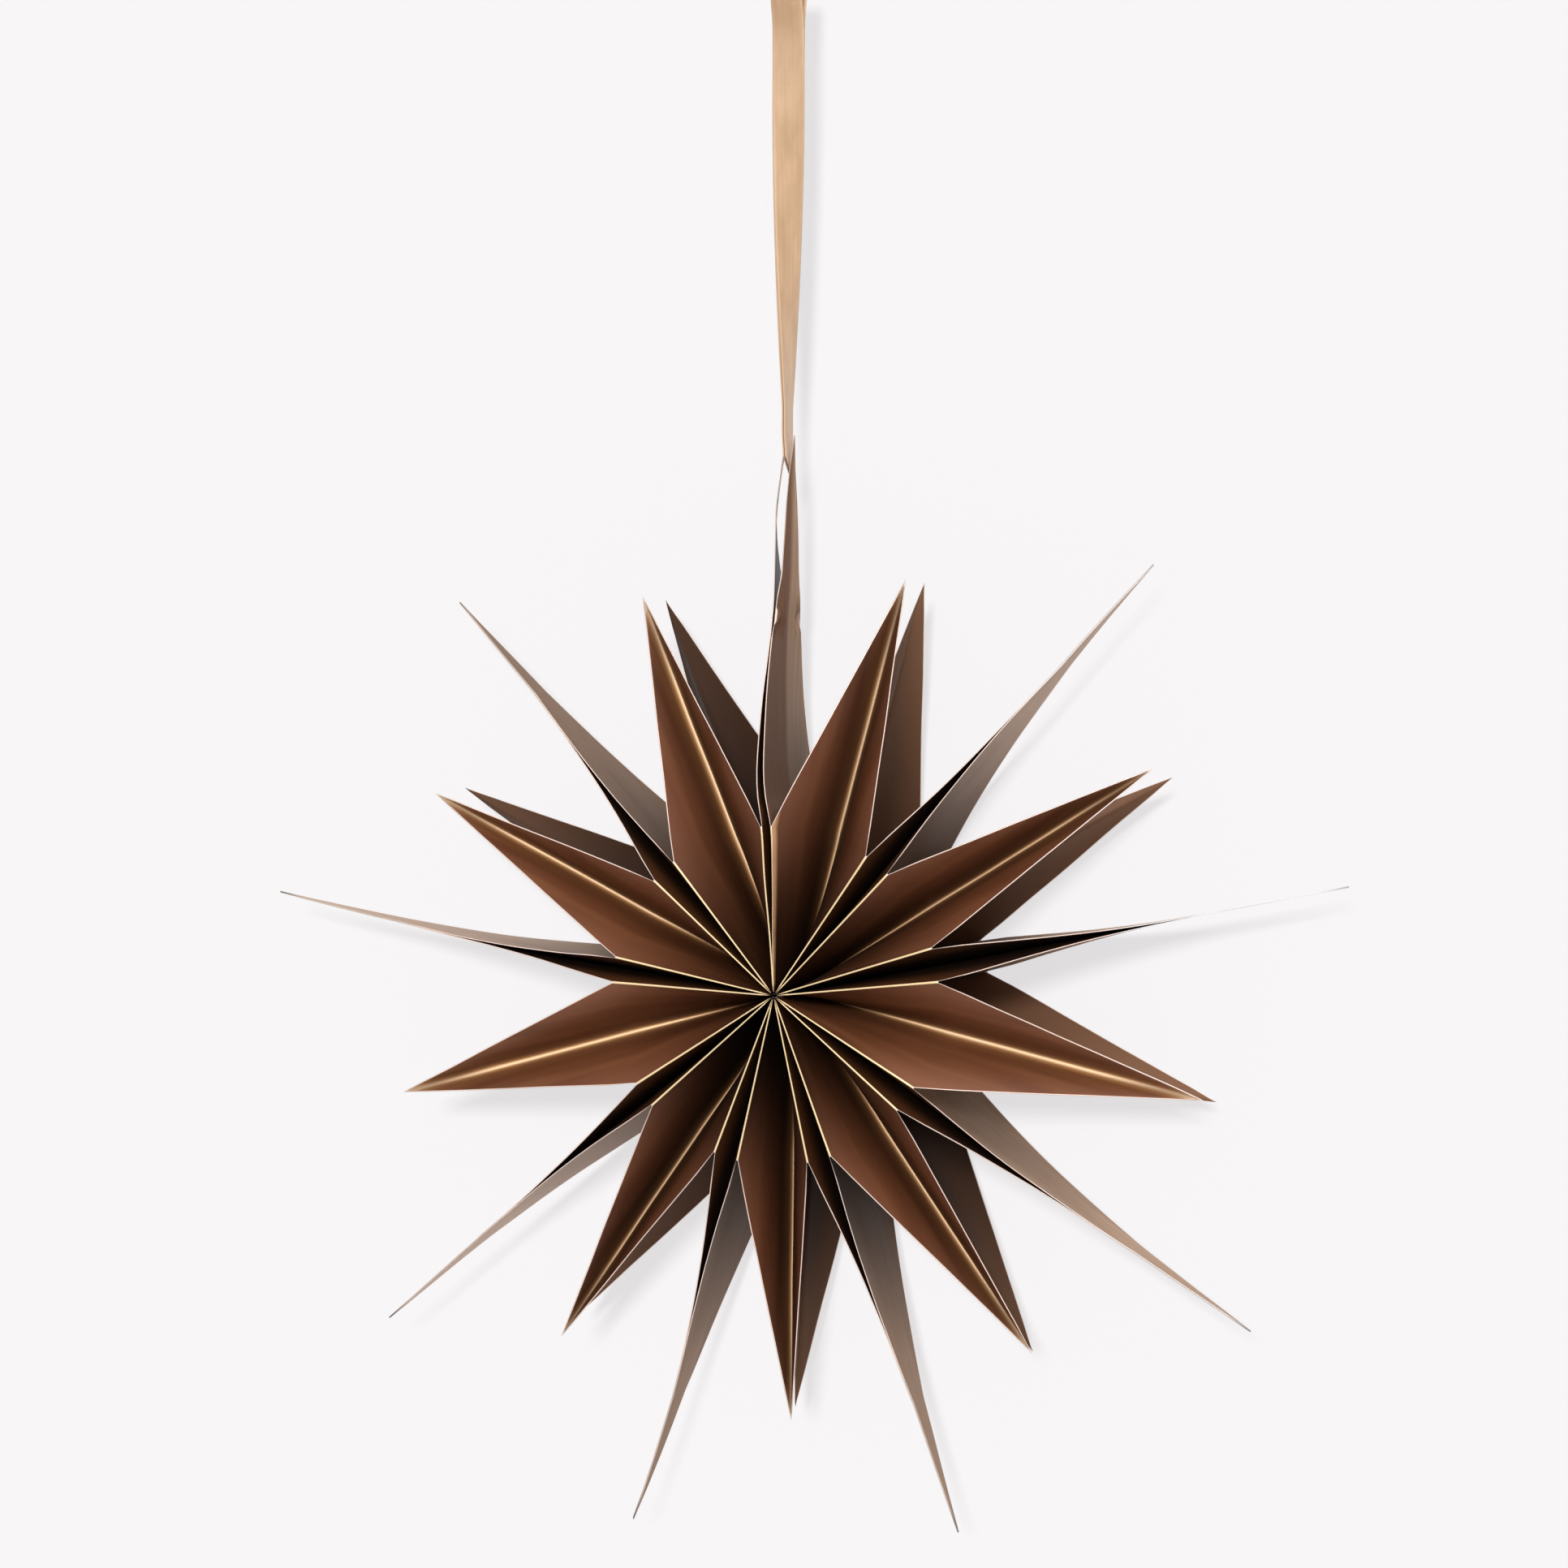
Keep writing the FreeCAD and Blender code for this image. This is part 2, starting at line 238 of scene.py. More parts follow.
PER_BAG = {"Front Lean": FRONT_LEANS, "Back Lean": BACK_LEANS, **LOOKS}
PER_SEAM = {
    "Seam": seams,
    "Spread": SPREADS,
    "Sway": SWAYS,
    "Spring": SPRINGS,
    "Growth": GROWTHS,
}


def own_sizes(index):
    """The inputs that differ from bag to bag, for one bag."""
    own = {name: values[index] for name, values in PER_BAG.items()}
    for name, values in PER_SEAM.items():
        own["Left " + name] = values[index]
        own["Right " + name] = values[index + 1]
    own["Left End"] = 1.0 if index == 0 else 0.0
    own["Right End"] = 1.0 if index == BAG_COUNT - 1 else 0.0
    return own


BAG_INPUTS = {
    **own_sizes(0),
    "Half Width": HALF_WIDTH,
    "Gusset Depth": GUSSET_DEPTH,
    "Notch Height": NOTCH_HEIGHT,
    "Gusset Tip Height": GUSSET_TIP_HEIGHT,
    "Point Height": POINT_HEIGHT,
    "Ridge Depth": RIDGE_DEPTH,
    "Glue Half Width": GLUE_HALF_WIDTH,
    "Hub Radius": HUB_RADIUS,
    "Paper Gauge": PAPER_GAUGE,
    "Petal Bulge": 0.13,
    "Fold Radius": 0.00022,
    "Valley Flat": 0.0006,
    "Ripple": 0.0009,
}
folding = bpy.data.node_groups.new("Fold paper bag", "GeometryNodeTree")
folding.interface.new_socket("Geometry", in_out="INPUT", socket_type="NodeSocketGeometry")
for name, value in BAG_INPUTS.items():
    socket = folding.interface.new_socket(name, in_out="INPUT", socket_type="NodeSocketFloat")
    socket.default_value = value
folding.interface.new_socket("Centre", in_out="INPUT", socket_type="NodeSocketVector")
folding.interface.new_socket("Paper", in_out="INPUT", socket_type="NodeSocketMaterial")
folding.interface.new_socket("Geometry", in_out="OUTPUT", socket_type="NodeSocketGeometry")
group_in = folding.nodes.new("NodeGroupInput")


def given(name):
    """One of the tree's named inputs."""
    return Wire(folding, group_in.outputs[name])


print(len(BAG_INPUTS), "named sizes go into the folding tree")

# %% [markdown]
# The grid is measured in the flat sheet's own metres. Every fold has to fall on a line of the
# grid, so the columns are 2 mm apart, which divides the panels and the half gussets evenly.
# The two columns beside each fold are then pulled close to it: on an outer fold to round it, and
# on a valley fold to give it a narrow flat. The rows below the notch are level. Above it they
# share out what the cut leaves.

# %% The flat sheet
COLUMN_WIDTH = 0.002
ROWS_BELOW = 20
ROWS_ABOVE = 30

columns = round(BAG_GIRTH / COLUMN_WIDTH)
row_count = ROWS_BELOW + ROWS_ABOVE
flat_grid = add_node(
    folding, "GeometryNodeMeshGrid", 0, (BAG_GIRTH, 1.0, columns + 1, row_count + 1)
)
place = add_node(folding, "GeometryNodeInputPosition", 0)
apart = folding.nodes.new("ShaderNodeSeparateXYZ")
plug(folding, apart.inputs[0], place)
even_around = Wire(folding, apart.outputs[0]) + HALF_GIRTH
row_share = Wire(folding, apart.outputs[1]) + 0.5


def pull_columns(place, fold, near):
    """Moves the two columns beside a fold close to it."""
    beside = place - fold
    is_next = 1.0 - (beside.do("ABSOLUTE") - COLUMN_WIDTH).do("ABSOLUTE").over(COLUMN_WIDTH / 4)
    return place - beside * (1.0 - near / COLUMN_WIDTH) * is_next


MOUNTAIN_NEAR = 0.00015
around = even_around
for mountain in (0.0, PANEL_WIDTH, HALF_GIRTH, HALF_GIRTH + PANEL_WIDTH, BAG_GIRTH):
    around = pull_columns(around, mountain, MOUNTAIN_NEAR)
for valley in (VALLEY_PLACE, HALF_GIRTH + VALLEY_PLACE):
    around = pull_columns(around, valley, given("Valley Flat"))

# The second half of the girth repeats the first, with left and right and front and back changed
second_half = around.over(HALF_GIRTH - COLUMN_WIDTH / 100)
half_sign = 1.0 - second_half * 2.0
in_half = around - second_half * HALF_GIRTH
on_pleat = in_half.over(given("Half Width") * 2.0)
pleat_place = (in_half - given("Half Width") * 2.0) / given("Gusset Depth")
share = (pleat_place - 1.0).do("ABSOLUTE")
pleat_side = half_sign * (1.0 - pleat_place.over(1.0) * 2.0)
pleat_face = half_sign * -1.0
across = (given("Half Width") - in_half) * half_sign
beside_pleat = given("Gusset Depth") * (1.0 - share)

# The cut outline: two straight lines, from the notch to the gusset's tip and on to the point
panel_from_middle = across.do("ABSOLUTE")
beside_panel = given("Half Width") - panel_from_middle
pleat_from_middle = given("Half Width") - beside_pleat
from_middle = panel_from_middle + (pleat_from_middle - panel_from_middle) * on_pleat
valley_line = given("Half Width") - given("Gusset Depth")
tip_drop = given("Point Height") - given("Gusset Tip Height")
upper_cut = given("Point Height") - tip_drop * from_middle / valley_line
lower_slope = (given("Gusset Tip Height") - given("Notch Height")) / given("Gusset Depth")
lower_cut = given("Gusset Tip Height") - lower_slope * (from_middle - valley_line)
cut = upper_cut + (lower_cut - upper_cut) * from_middle.over(valley_line)

below_share = (row_share * (row_count / ROWS_BELOW)).least(1.0)
above_share = (row_share - ROWS_BELOW / row_count).most(0.0) * (row_count / ROWS_ABOVE)
low_part = given("Hub Radius") + (given("Notch Height") - given("Hub Radius")) * below_share
height = low_part + (cut - given("Notch Height")) * above_share
flat_place = vector(folding, around, height, 0.0)
sheet = add_node(
    folding,
    "GeometryNodeStoreNamedAttribute",
    0,
    named={"Geometry": flat_grid, "Name": "flat_pattern", "Value": flat_place},
    data_type="FLOAT2",
    domain="CORNER",
)
slant_low = math.cos(math.atan2(GUSSET_TIP_HEIGHT - NOTCH_HEIGHT, GUSSET_DEPTH))
slant_high = math.cos(math.atan2(POINT_HEIGHT - GUSSET_TIP_HEIGHT, VALLEY_X))
slant = slant_high + (slant_low - slant_high) * from_middle.over(valley_line)
to_cut = (cut - height) * slant


def store(geometry, name, value):
    """Keeps a number on every point of the sheet, for a material or a later node."""
    return add_node(
        folding,
        "GeometryNodeStoreNamedAttribute",
        0,
        named={"Geometry": geometry, "Name": name, "Value": value},
        data_type="FLOAT",
        domain="POINT",
    )


sheet = store(sheet, "to_cut", to_cut)
for look in LOOKS:
    sheet = store(sheet, look.lower().replace(" ", "_"), given(look))
print("the flat sheet has", columns, "columns and", row_count, "rows")

# %% [markdown]
# A panel is glued to its neighbour up the middle only. Towards its front and back edges the
# pair of panels springs apart, slowly at first and then fast, which a third or fourth power gives.
# The two end panels, which meet at the top seam, make room for the ribbon. They sway above the
# notch and turn about their own middle line, and one has a small crease. Each of their lists
# has a height and the value there, and a curve runs between them.

# %% Fold the panels
DEGREE = math.pi / 180
CURVE_TOP = 0.25
SHIFT_REACH = 0.01
TURN_REACH = 0.5
FOLD_START = 0.0012
FOLD_REACH = 0.005


def ring_place(angle, radius, aside):
    """A point at an angle and radius in the star's plane, and moved aside clockwise."""
    turn = angle * DEGREE
    sine = turn.do("SINE")
    cosine = turn.do("COSINE")
    return sine * radius + cosine * aside, cosine * radius - sine * aside


def level_curve(level, points, reach):
    """A value that follows the height. points are (height, value), reach is the largest value."""
    node = folding.nodes.new("ShaderNodeFloatCurve")
    mapping = node.mapping
    curve = mapping.curves[0]
    for index, (at_height, value) in enumerate(points):
        spot = (at_height / CURVE_TOP, 0.5 + value / reach / 2)
        if index < 2:
            curve.points[index].location = spot
        else:
            curve.points.new(*spot)
    mapping.update()
    plug(folding, node.inputs["Value"], level / CURVE_TOP)
    return (Wire(folding, node.outputs[0]) - 0.5) * (2 * reach)


# The end panel at the right of the top seam is bag 1's left one
RIGHT_END_SHIFTS = [
    (0.0, 0.0), (0.022, 0.0), (0.045, 0.0003), (0.065, 0.0003), (0.078, -0.0028),
    (0.091, -0.0040), (0.109, -0.0041), (0.138, -0.0029), (0.152, -0.0018), (0.170, -0.0003),
    (0.186, 0.0006), (0.200, 0.0012), (0.219, 0.0028),
]
RIGHT_END_TURNS = [
    (0.0, 0.0), (0.07, 0.0), (0.138, 0.06), (0.143, 0.09), (0.147, -0.06), (0.151, 0.12),
    (0.158, 0.11), (0.170, 0.17), (0.186, 0.22), (0.198, 0.30), (0.219, 0.30),
]
# The end panel at the left of the top seam is bag 9's right one
LEFT_END_SHIFTS = [
    (0.0, 0.0), (0.022, 0.0), (0.045, -0.0006), (0.065, -0.0006), (0.078, -0.0036),
    (0.091, -0.0050), (0.109, -0.0052), (0.138, -0.0046), (0.152, -0.0048), (0.170, -0.0056),
    (0.184, -0.0056), (0.198, -0.0040), (0.208, -0.0018), (0.219, -0.0004),
]
LEFT_END_TURNS = [
    (0.0, 0.0), (0.07, 0.0), (0.13, 0.0), (0.15, -0.05), (0.170, -0.15), (0.186, -0.26),
    (0.205, -0.26), (0.219, -0.1),
]


def end_stand_off(level, is_end, shifts):
    """How far an end panel stands off the top seam: it makes room for the ribbon and sways."""
    return level_curve(level, shifts, SHIFT_REACH) * is_end


def fold_stand_off(beside):
    """How far the sheet stands off beside an outer fold, which is rounded."""
    near_fold = (1.0 - beside.step(0.0, FOLD_REACH)) * beside.over(MOUNTAIN_NEAR / 2)
    return near_fold * given("Fold Radius") * height.step(FOLD_START, FOLD_REACH)


from_left = (half_sign + 1.0) * 0.5


def of_seam(name):
    """A size of the seam that the panel belongs to: the bag's left one or its right one."""
    return given("Right " + name) + (given("Left " + name) - given("Right " + name)) * from_left


loose = (panel_from_middle - given("Glue Half Width")).most(0.0)
loose = loose / (given("Half Width") - given("Glue Half Width"))
above_notch = (height - given("Notch Height")).most(0.0)
rise = above_notch / (given("Point Height") - given("Notch Height"))
fan = half_sign * of_seam("Spread") * 0.5 * loose ** of_seam("Spring")
panel_angle = of_seam("Seam") + of_seam("Sway") * rise * rise + fan
left_off = end_stand_off(height, given("Left End"), RIGHT_END_SHIFTS)
right_off = end_stand_off(height, given("Right End"), LEFT_END_SHIFTS)
stand_off = left_off * from_left + right_off * (1.0 - from_left)
left_turn = level_curve(height, RIGHT_END_TURNS, TURN_REACH) * given("Left End")
right_turn = level_curve(height, LEFT_END_TURNS, TURN_REACH) * given("Right End")
turn = left_turn * from_left + right_turn * (1.0 - from_left)
stand_off = stand_off + turn.do("SINE") * across
stand_off = stand_off - half_sign * fold_stand_off(beside_panel)
panel_height = height + of_seam("Growth") * rise
panel_x, panel_z = ring_place(panel_angle, panel_height, stand_off)
panel_y = across * turn.do("COSINE")
print("panels folded with", len(folding.nodes), "nodes so far")

# %% [markdown]
# A half gusset hangs between the outer fold of a panel and the valley fold in the middle of
# its pleat. Its depth is fixed, so how far the valley lies back follows from how far the bag
# is open. Paper that is sprung open isn't flat: each half gusset bulges a little, so it is
# steep beside the valley and turns to the front towards its outer edge. The front and back
# points lean a little to one side above the notch.

# %% Fold the pleats
LEAST_SHARE = 0.02
FLAT_PART = 0.9

low = height.least(given("Notch Height"))
left_x, left_z = ring_place(
    given("Left Seam") + given("Left Spread") * 0.5,
    low,
    end_stand_off(low, given("Left End"), RIGHT_END_SHIFTS),
)
right_x, right_z = ring_place(
    given("Right Seam") - given("Right Spread") * 0.5,
    low,
    end_stand_off(low, given("Right End"), LEFT_END_SHIFTS),
)
half_gap_x = (right_x - left_x) * 0.5
half_gap_z = (right_z - left_z) * 0.5
middle_x = (left_x + right_x) * 0.5
middle_z = (left_z + right_z) * 0.5
half_gap = (half_gap_x * half_gap_x + half_gap_z * half_gap_z).do("SQRT")
reach = (given("Gusset Depth") ** 2.0 - half_gap * half_gap).do("SQRT")
middle_length = (middle_x * middle_x + middle_z * middle_z).do("SQRT")
along_x = middle_x / middle_length
along_z = middle_z / middle_length

pleat_rise = above_notch / (given("Gusset Tip Height") - given("Notch Height"))
closed_depth = given("Half Width") - reach
valley_depth = closed_depth + (given("Ridge Depth") - closed_depth) * pleat_rise
is_back = (pleat_face + 1.0) * 0.5
lean = given("Front Lean") + (given("Back Lean") - given("Front Lean")) * is_back
lean_aside = (lean * DEGREE).do("TANGENT") * above_notch
climb = height - (low - middle_length) * share

share_at_cut = (1.0 - pleat_rise).most(LEAST_SHARE)
crown = share / share_at_cut
crown = (crown * (1.0 - crown) * 4.0).most(0.0)
bulge = given("Petal Bulge") * half_gap * crown * share_at_cut
bulge_aside = bulge * reach / given("Gusset Depth") / half_gap * pleat_side
bulge_front = bulge * half_gap / given("Gusset Depth")

# The outer fold is rounded and the valley fold has its narrow flat
round_aside = fold_stand_off(beside_pleat) / half_gap * pleat_side
flat_share = share.most(given("Valley Flat") / given("Gusset Depth") * FLAT_PART)

half_gap_share = bulge_aside + round_aside - pleat_side * share
pleat_x = along_x * climb + half_gap_x * half_gap_share + along_z * lean_aside
pleat_z = along_z * climb + half_gap_z * half_gap_share - along_x * lean_aside
pleat_y = pleat_face * (valley_depth + reach * flat_share + bulge_front)
print("pleats folded with", len(folding.nodes), "nodes so far")

# %% [markdown]
# The sheet takes its folded place. A faint ripple is added from a noise texture that depends
# only on place, so two glued sheets ripple together. The tube is closed where its two edges
# meet. The outer folds are marked sharp so that they stay crisp under smooth shading, and the
# valley folds, which are pressed less hard, stay smooth.

# %% Put the sheet in place and close the tube
RIPPLE_SCALE = 22.0
RIPPLE_GROWS = (0.02, 0.1)
ROOM_PART = 0.45
LEAST_ROOM = 0.05
WELD_DISTANCE = 0.00002
SHARP_ANGLE = 0.3

fold_x = panel_x + (pleat_x - panel_x) * on_pleat
fold_y = panel_y + (pleat_y - panel_y) * on_pleat
fold_z = panel_z + (pleat_z - panel_z) * on_pleat
folded = vector(folding, fold_x, fold_y, fold_z)
noise = add_node(
    folding,
    "ShaderNodeTexNoise",
    "Color",
    named={"Vector": folded, "Scale": RIPPLE_SCALE, "Detail": 1.0},
)
centred = add_node(
    folding, "ShaderNodeVectorMath", 0, (noise, (0.5, 0.5, 0.5)), operation="SUBTRACT"
)
ripple_share = given("Ripple") * height.step(*RIPPLE_GROWS)
rippled = add_node(
    folding,
    "ShaderNodeVectorMath",
    0,
    named={"Vector": centred, "Scale": ripple_share},
    operation="SCALE",
)
moved = add_node(folding, "ShaderNodeVectorMath", 0, (folded, rippled), operation="ADD")
moved = add_node(folding, "ShaderNodeVectorMath", 0, (moved, given("Centre")), operation="ADD")

# How much of the paper's gauge fits inside the bag here: little beside a fold
beside_fold = beside_panel + (beside_pleat - beside_panel) * on_pleat
room = beside_fold * half_gap / given("Gusset Depth") / given("Paper Gauge") * ROOM_PART
room = room.least(1.0).most(LEAST_ROOM)
sheet = store(sheet, "room", room)
near_valley = (1.0 - (share * given("Gusset Depth")).over(COLUMN_WIDTH * 1.5)) * on_pleat
sheet = store(sheet, "near_valley", near_valley)
bag = add_node(folding, "GeometryNodeSetPosition", 0, named={"Geometry": sheet, "Position": moved})
bag = add_node(
    folding, "GeometryNodeMergeByDistance", 0, named={"Geometry": bag, "Distance": WELD_DISTANCE}
)
bag = add_node(
    folding, "GeometryNodeSetShadeSmooth", 0, named={"Geometry": bag, "Shade Smooth": True}
)
edge_angle = add_node(folding, "GeometryNodeInputMeshEdgeAngle", 0)
at_valley = add_node(
    folding, "GeometryNodeInputNamedAttribute", 0, named={"Name": "near_valley"}, data_type="FLOAT"
)
is_fold = edge_angle.over(SHARP_ANGLE) * (1.0 - at_valley.over(0.6))
bag = add_node(
    folding,
    "GeometryNodeSetShadeSmooth",
    0,
    named={"Geometry": bag, "Selection": is_fold, "Shade Smooth": False},
    domain="EDGE",
)
bag = add_node(folding, "GeometryNodeRealizeInstances", 0, (bag,))
bag = add_node(
    folding, "GeometryNodeSetMaterial", 0, named={"Geometry": bag, "Material": given("Paper")}
)
group_out = folding.nodes.new("NodeGroupOutput")
plug(folding, group_out.inputs["Geometry"], bag)
print("the folding tree has", len(folding.nodes), "nodes")

# %% [markdown]
# The paper is printed on its outside with a warm brown that has a satin, slightly pearly
# finish. The light on the folds is painted into the colour: each outer fold has a thin gold line,
# partly stretched ink and partly painted highlight, and each valley fold has a broad soft painted
# highlight. All of it follows the flat sheet, so the material reads the flat pattern's own
# coordinates and not the place in the room. The distances in these materials are metres on that
# flat sheet, and a pair is where a look starts and where it ends.

# %% Material tools
CUT_LINE = 0.00028
CUT_FADES = (0.15, 0.19)
FIBRE_STRETCH = (1.0, 0.3)
FIBRE_SCALE = 1500.0


def shade(red, green, blue):
    """A colour as it looks on screen, 0 to 255, as the linear colour that a shader takes."""
    out = []
    for value in (red, green, blue):
        value = value / 255
        out.append(value / 12.92 if value <= 0.04045 else ((value + 0.055) / 1.055) ** 2.4)
    return (*out, 1.0)


def new_material(name):
    """An empty material with a principled shader. Gives the material, its tree and shader."""
    material = bpy.data.materials.new(name)
    material.use_nodes = True
    tree = material.node_tree
    return material, tree, tree.nodes["Principled BSDF"]


def blend_colour(tree, share, first, second):
    """Mixes two colours by a share. They go into the node's inputs 6 and 7."""
    inputs = {"Factor": share, 6: first, 7: second}
    return add_node(tree, "ShaderNodeMix", 2, named=inputs, data_type="RGBA", clamp_factor=True)


def sheet_place(tree, name):
    """The place on a flat sheet, and the ways across and along it, from the piece's own UVs."""
    at = add_node(tree, "ShaderNodeUVMap", 0, uv_map=name)
    split = tree.nodes.new("ShaderNodeSeparateXYZ")
    plug(tree, split.inputs[0], at)
    return at, Wire(tree, split.outputs[0]), Wire(tree, split.outputs[1])


def flat_pattern(tree):
    """The place on the flat sheet, the way round the bag, that within one half, and the height."""
    at, girth, level = sheet_place(tree, "flat_pattern")
    in_half = girth - girth.over(HALF_GIRTH) * HALF_GIRTH
    return at, girth, in_half, level


def grain(tree, at, stretch, scale, detail, roughness=0.55):
    """Noise on the flat pattern, stretched so that it runs along the height."""
    mapped = add_node(
        tree, "ShaderNodeMapping", 0, named={"Vector": at, "Scale": (*stretch, 1.0)}
    )
    return add_node(
        tree,
        "ShaderNodeTexNoise",
        0,
        named={"Vector": mapped, "Scale": scale, "Detail": detail, "Roughness": roughness},
    )


def stored(tree, name):
    """A number that the folding tree kept on the sheet."""
    return add_node(tree, "ShaderNodeAttribute", "Fac", attribute_name=name)


def cut_line(tree, level):
    """1 on the thin line of bare core along the cut, which grows faint towards the tips."""
    line = 1.0 - stored(tree, "to_cut").step(CUT_LINE * 0.7, CUT_LINE * 1.3)
    return line * (1.0 - level.step(*CUT_FADES) * 0.8)


def paper_bump(tree, shader, height):
    """A faint relief of fibres and streaks."""
    relief = {"Strength": 0.12, "Distance": 0.0002, "Height": height}
    plug(tree, shader.inputs["Normal"], add_node(tree, "ShaderNodeBump", 0, named=relief))


PALE_CORE = shade(250, 226, 212)
print("material tools ready")

# %% [markdown]
# The brown outside is built up in layers. First come the print's clouds and long streaks, then
# painted light beside the outer folds and painted shade beside the valley folds and towards the
# hub, then the painted highlight, and the fold and cut lines last. How much painted shade and
# highlight a bag gets comes from the shares that were kept on its sheet.

# %% Brown printed paper with painted light and shade, the outside of the bags
VALLEY_EDGE = 0.001
HUB_SHADE_EDGE = 0.012
PAINTED_LIGHT_BESIDE_MOUNTAIN = (0.0, 0.02)
PAINTED_LIGHT_GROWS = (0.025, 0.06)
VALLEY_SHADE_FADES = (0.09, 0.17)
PAINTED_SHADE_BETWEEN_BAGS = (0.0006, 0.012)
PAINTED_HIGHLIGHT_GROWS = (0.006, 0.036)
PAINTED_HIGHLIGHT_FADES = (0.12, 0.155)
WIDE_PAINTED_HIGHLIGHT = (VALLEY_EDGE, 0.0105)
FOLD_HIGHLIGHT_REACH = (0.0012, 0.0034)
GOLD_LINE = (0.0003, 0.00045)

brown, tree, shader = new_material("brown_print_and_painted_light")
at, girth, in_half, level = flat_pattern(tree)
from_valley = (in_half - VALLEY_PLACE).do("ABSOLUTE")
on_pleat = in_half.over(PANEL_WIDTH)
from_mountain = in_half.least((in_half - PANEL_WIDTH).do("ABSOLUTE"))
from_mountain = from_mountain.least(HALF_GIRTH - in_half)
highlight_share = stored(tree, "crease_painted_highlight")
crease_shade_share = stored(tree, "crease_painted_shade")

# Clouds and long streaks
streaks = grain(tree, at, (1.0, 0.06), 260.0, 3.0)
clouds = grain(tree, at, (1.0, 0.4), 26.0, 2.0)
colour = blend_colour(tree, clouds.step(0.3, 0.7), shade(98, 54, 30), shade(122, 74, 47))
colour = blend_colour(tree, streaks.step(0.35, 0.75) * 0.2, colour, shade(140, 90, 56))
broad = grain(tree, at, (1.0, 0.1), 120.0, 1.0)
colour = blend_colour(tree, broad.step(0.5, 0.75) * 0.4, colour, shade(144, 92, 60))
colour = blend_colour(tree, (1.0 - broad.step(0.25, 0.45)) * 0.35, colour, shade(66, 34, 19))
# Painted shade over the whole bag, as much as its crease share
colour = blend_colour(tree, crease_shade_share * 0.4, colour, shade(80, 39, 20))

# Painted light beside the outer folds, painted shade beside the valley folds and towards the hub
painted_light_beside_mountain = 1.0 - from_mountain.step(*PAINTED_LIGHT_BESIDE_MOUNTAIN)
painted_light_beside_mountain = painted_light_beside_mountain * level.step(*PAINTED_LIGHT_GROWS) * on_pleat
colour = blend_colour(tree, painted_light_beside_mountain * 0.4, colour, shade(156, 100, 72))
valley_shade_reach = 0.014 + crease_shade_share * 0.012
painted_shade_beside_valley = 1.0 - from_valley.step(VALLEY_EDGE, valley_shade_reach)
painted_shade_beside_valley = painted_shade_beside_valley * (1.0 - level.step(*VALLEY_SHADE_FADES) * 0.5)
colour = blend_colour(tree, painted_shade_beside_valley * crease_shade_share, colour, shade(26, 12, 6))
hub_shade_reach = 0.07 + crease_shade_share * 0.04
painted_shade_near_hub = 1.0 - level.step(HUB_SHADE_EDGE, hub_shade_reach)
colour = blend_colour(tree, painted_shade_near_hub * crease_shade_share, colour, shade(22, 10, 4))
colour = blend_colour(tree, painted_shade_near_hub * 0.12, colour, shade(40, 20, 8))

# The panels' printed side lies deep between two bags, so it gets painted shade, lighter beside the
# fold
deep = from_mountain.step(*PAINTED_SHADE_BETWEEN_BAGS) * (1.0 - on_pleat)
colour = blend_colour(tree, (1.0 - on_pleat) * 0.75, colour, shade(74, 42, 18))
colour = blend_colour(tree, deep, colour, shade(38, 22, 13))

# The painted highlight along each valley fold: a broad one, a narrow one and a bright line
painted_highlight_along = level.step(*PAINTED_HIGHLIGHT_GROWS) * (1.0 - level.step(*PAINTED_HIGHLIGHT_FADES) * 0.7)
wide_painted_highlight = (1.0 - from_valley.step(*WIDE_PAINTED_HIGHLIGHT)) * painted_highlight_along * on_pleat
wide_painted_highlight = wide_painted_highlight * (0.55 + clouds * 0.7)
colour = blend_colour(tree, wide_painted_highlight * highlight_share * 0.75, colour, shade(158, 108, 66))
narrow_highlight_reach = 0.003 + highlight_share * 0.0022
narrow_painted_highlight = (1.0 - from_valley.step(VALLEY_EDGE, narrow_highlight_reach)) * painted_highlight_along * on_pleat
colour = blend_colour(tree, narrow_painted_highlight * highlight_share * 0.85, colour, shade(218, 170, 116))
highlight_line_reach = 0.0014 + highlight_share * 0.0012
painted_highlight_line = (1.0 - from_valley.step(VALLEY_EDGE * 0.8, highlight_line_reach)) * painted_highlight_along * on_pleat
colour = blend_colour(tree, painted_highlight_line * highlight_share, colour, shade(255, 236, 204))

# On bag 1 the front fold at the top seam carries a wider painted highlight
past_first_fold = girth - PANEL_WIDTH
fold_painted_highlight = past_first_fold.over(0.0) * (1.0 - past_first_fold.step(*FOLD_HIGHLIGHT_REACH))
fold_painted_highlight = fold_painted_highlight * stored(tree, "front_brown")
colour = blend_colour(tree, fold_painted_highlight * 0.9, colour, shade(206, 156, 116))

# The gold line on each outer fold, stretched ink with a painted highlight, and the bare core
# along the cut
gold_ink_and_highlight = 1.0 - from_mountain.step(*GOLD_LINE)
colour = blend_colour(tree, gold_ink_and_highlight, colour, shade(255, 226, 176))
colour = blend_colour(tree, cut_line(tree, level), colour, PALE_CORE)
plug(tree, shader.inputs["Base Color"], colour)
plug(tree, shader.inputs["Roughness"], 0.36 + streaks * 0.16)
shader.inputs["Metallic"].default_value = 0.2
shader.inputs["Specular IOR Level"].default_value = 0.4
fibre = grain(tree, at, FIBRE_STRETCH, FIBRE_SCALE, 3.0)
paper_bump(tree, shader, fibre * 0.6 + streaks * 0.6)
print(brown.name, "has", len(tree.nodes), "nodes")

# %% [markdown]
# The inside of the paper isn't printed in the same tone: it is a greyer taupe with a weak
# satin. It is seen on the middle points and on the back points, between the front ones. Painted
# shade lies on it near the notch and on the back points, and each bag's panels get their own
# painted light and shade. Where the stack was cut, the paper's core shows as a thin line of
# pinkish white.

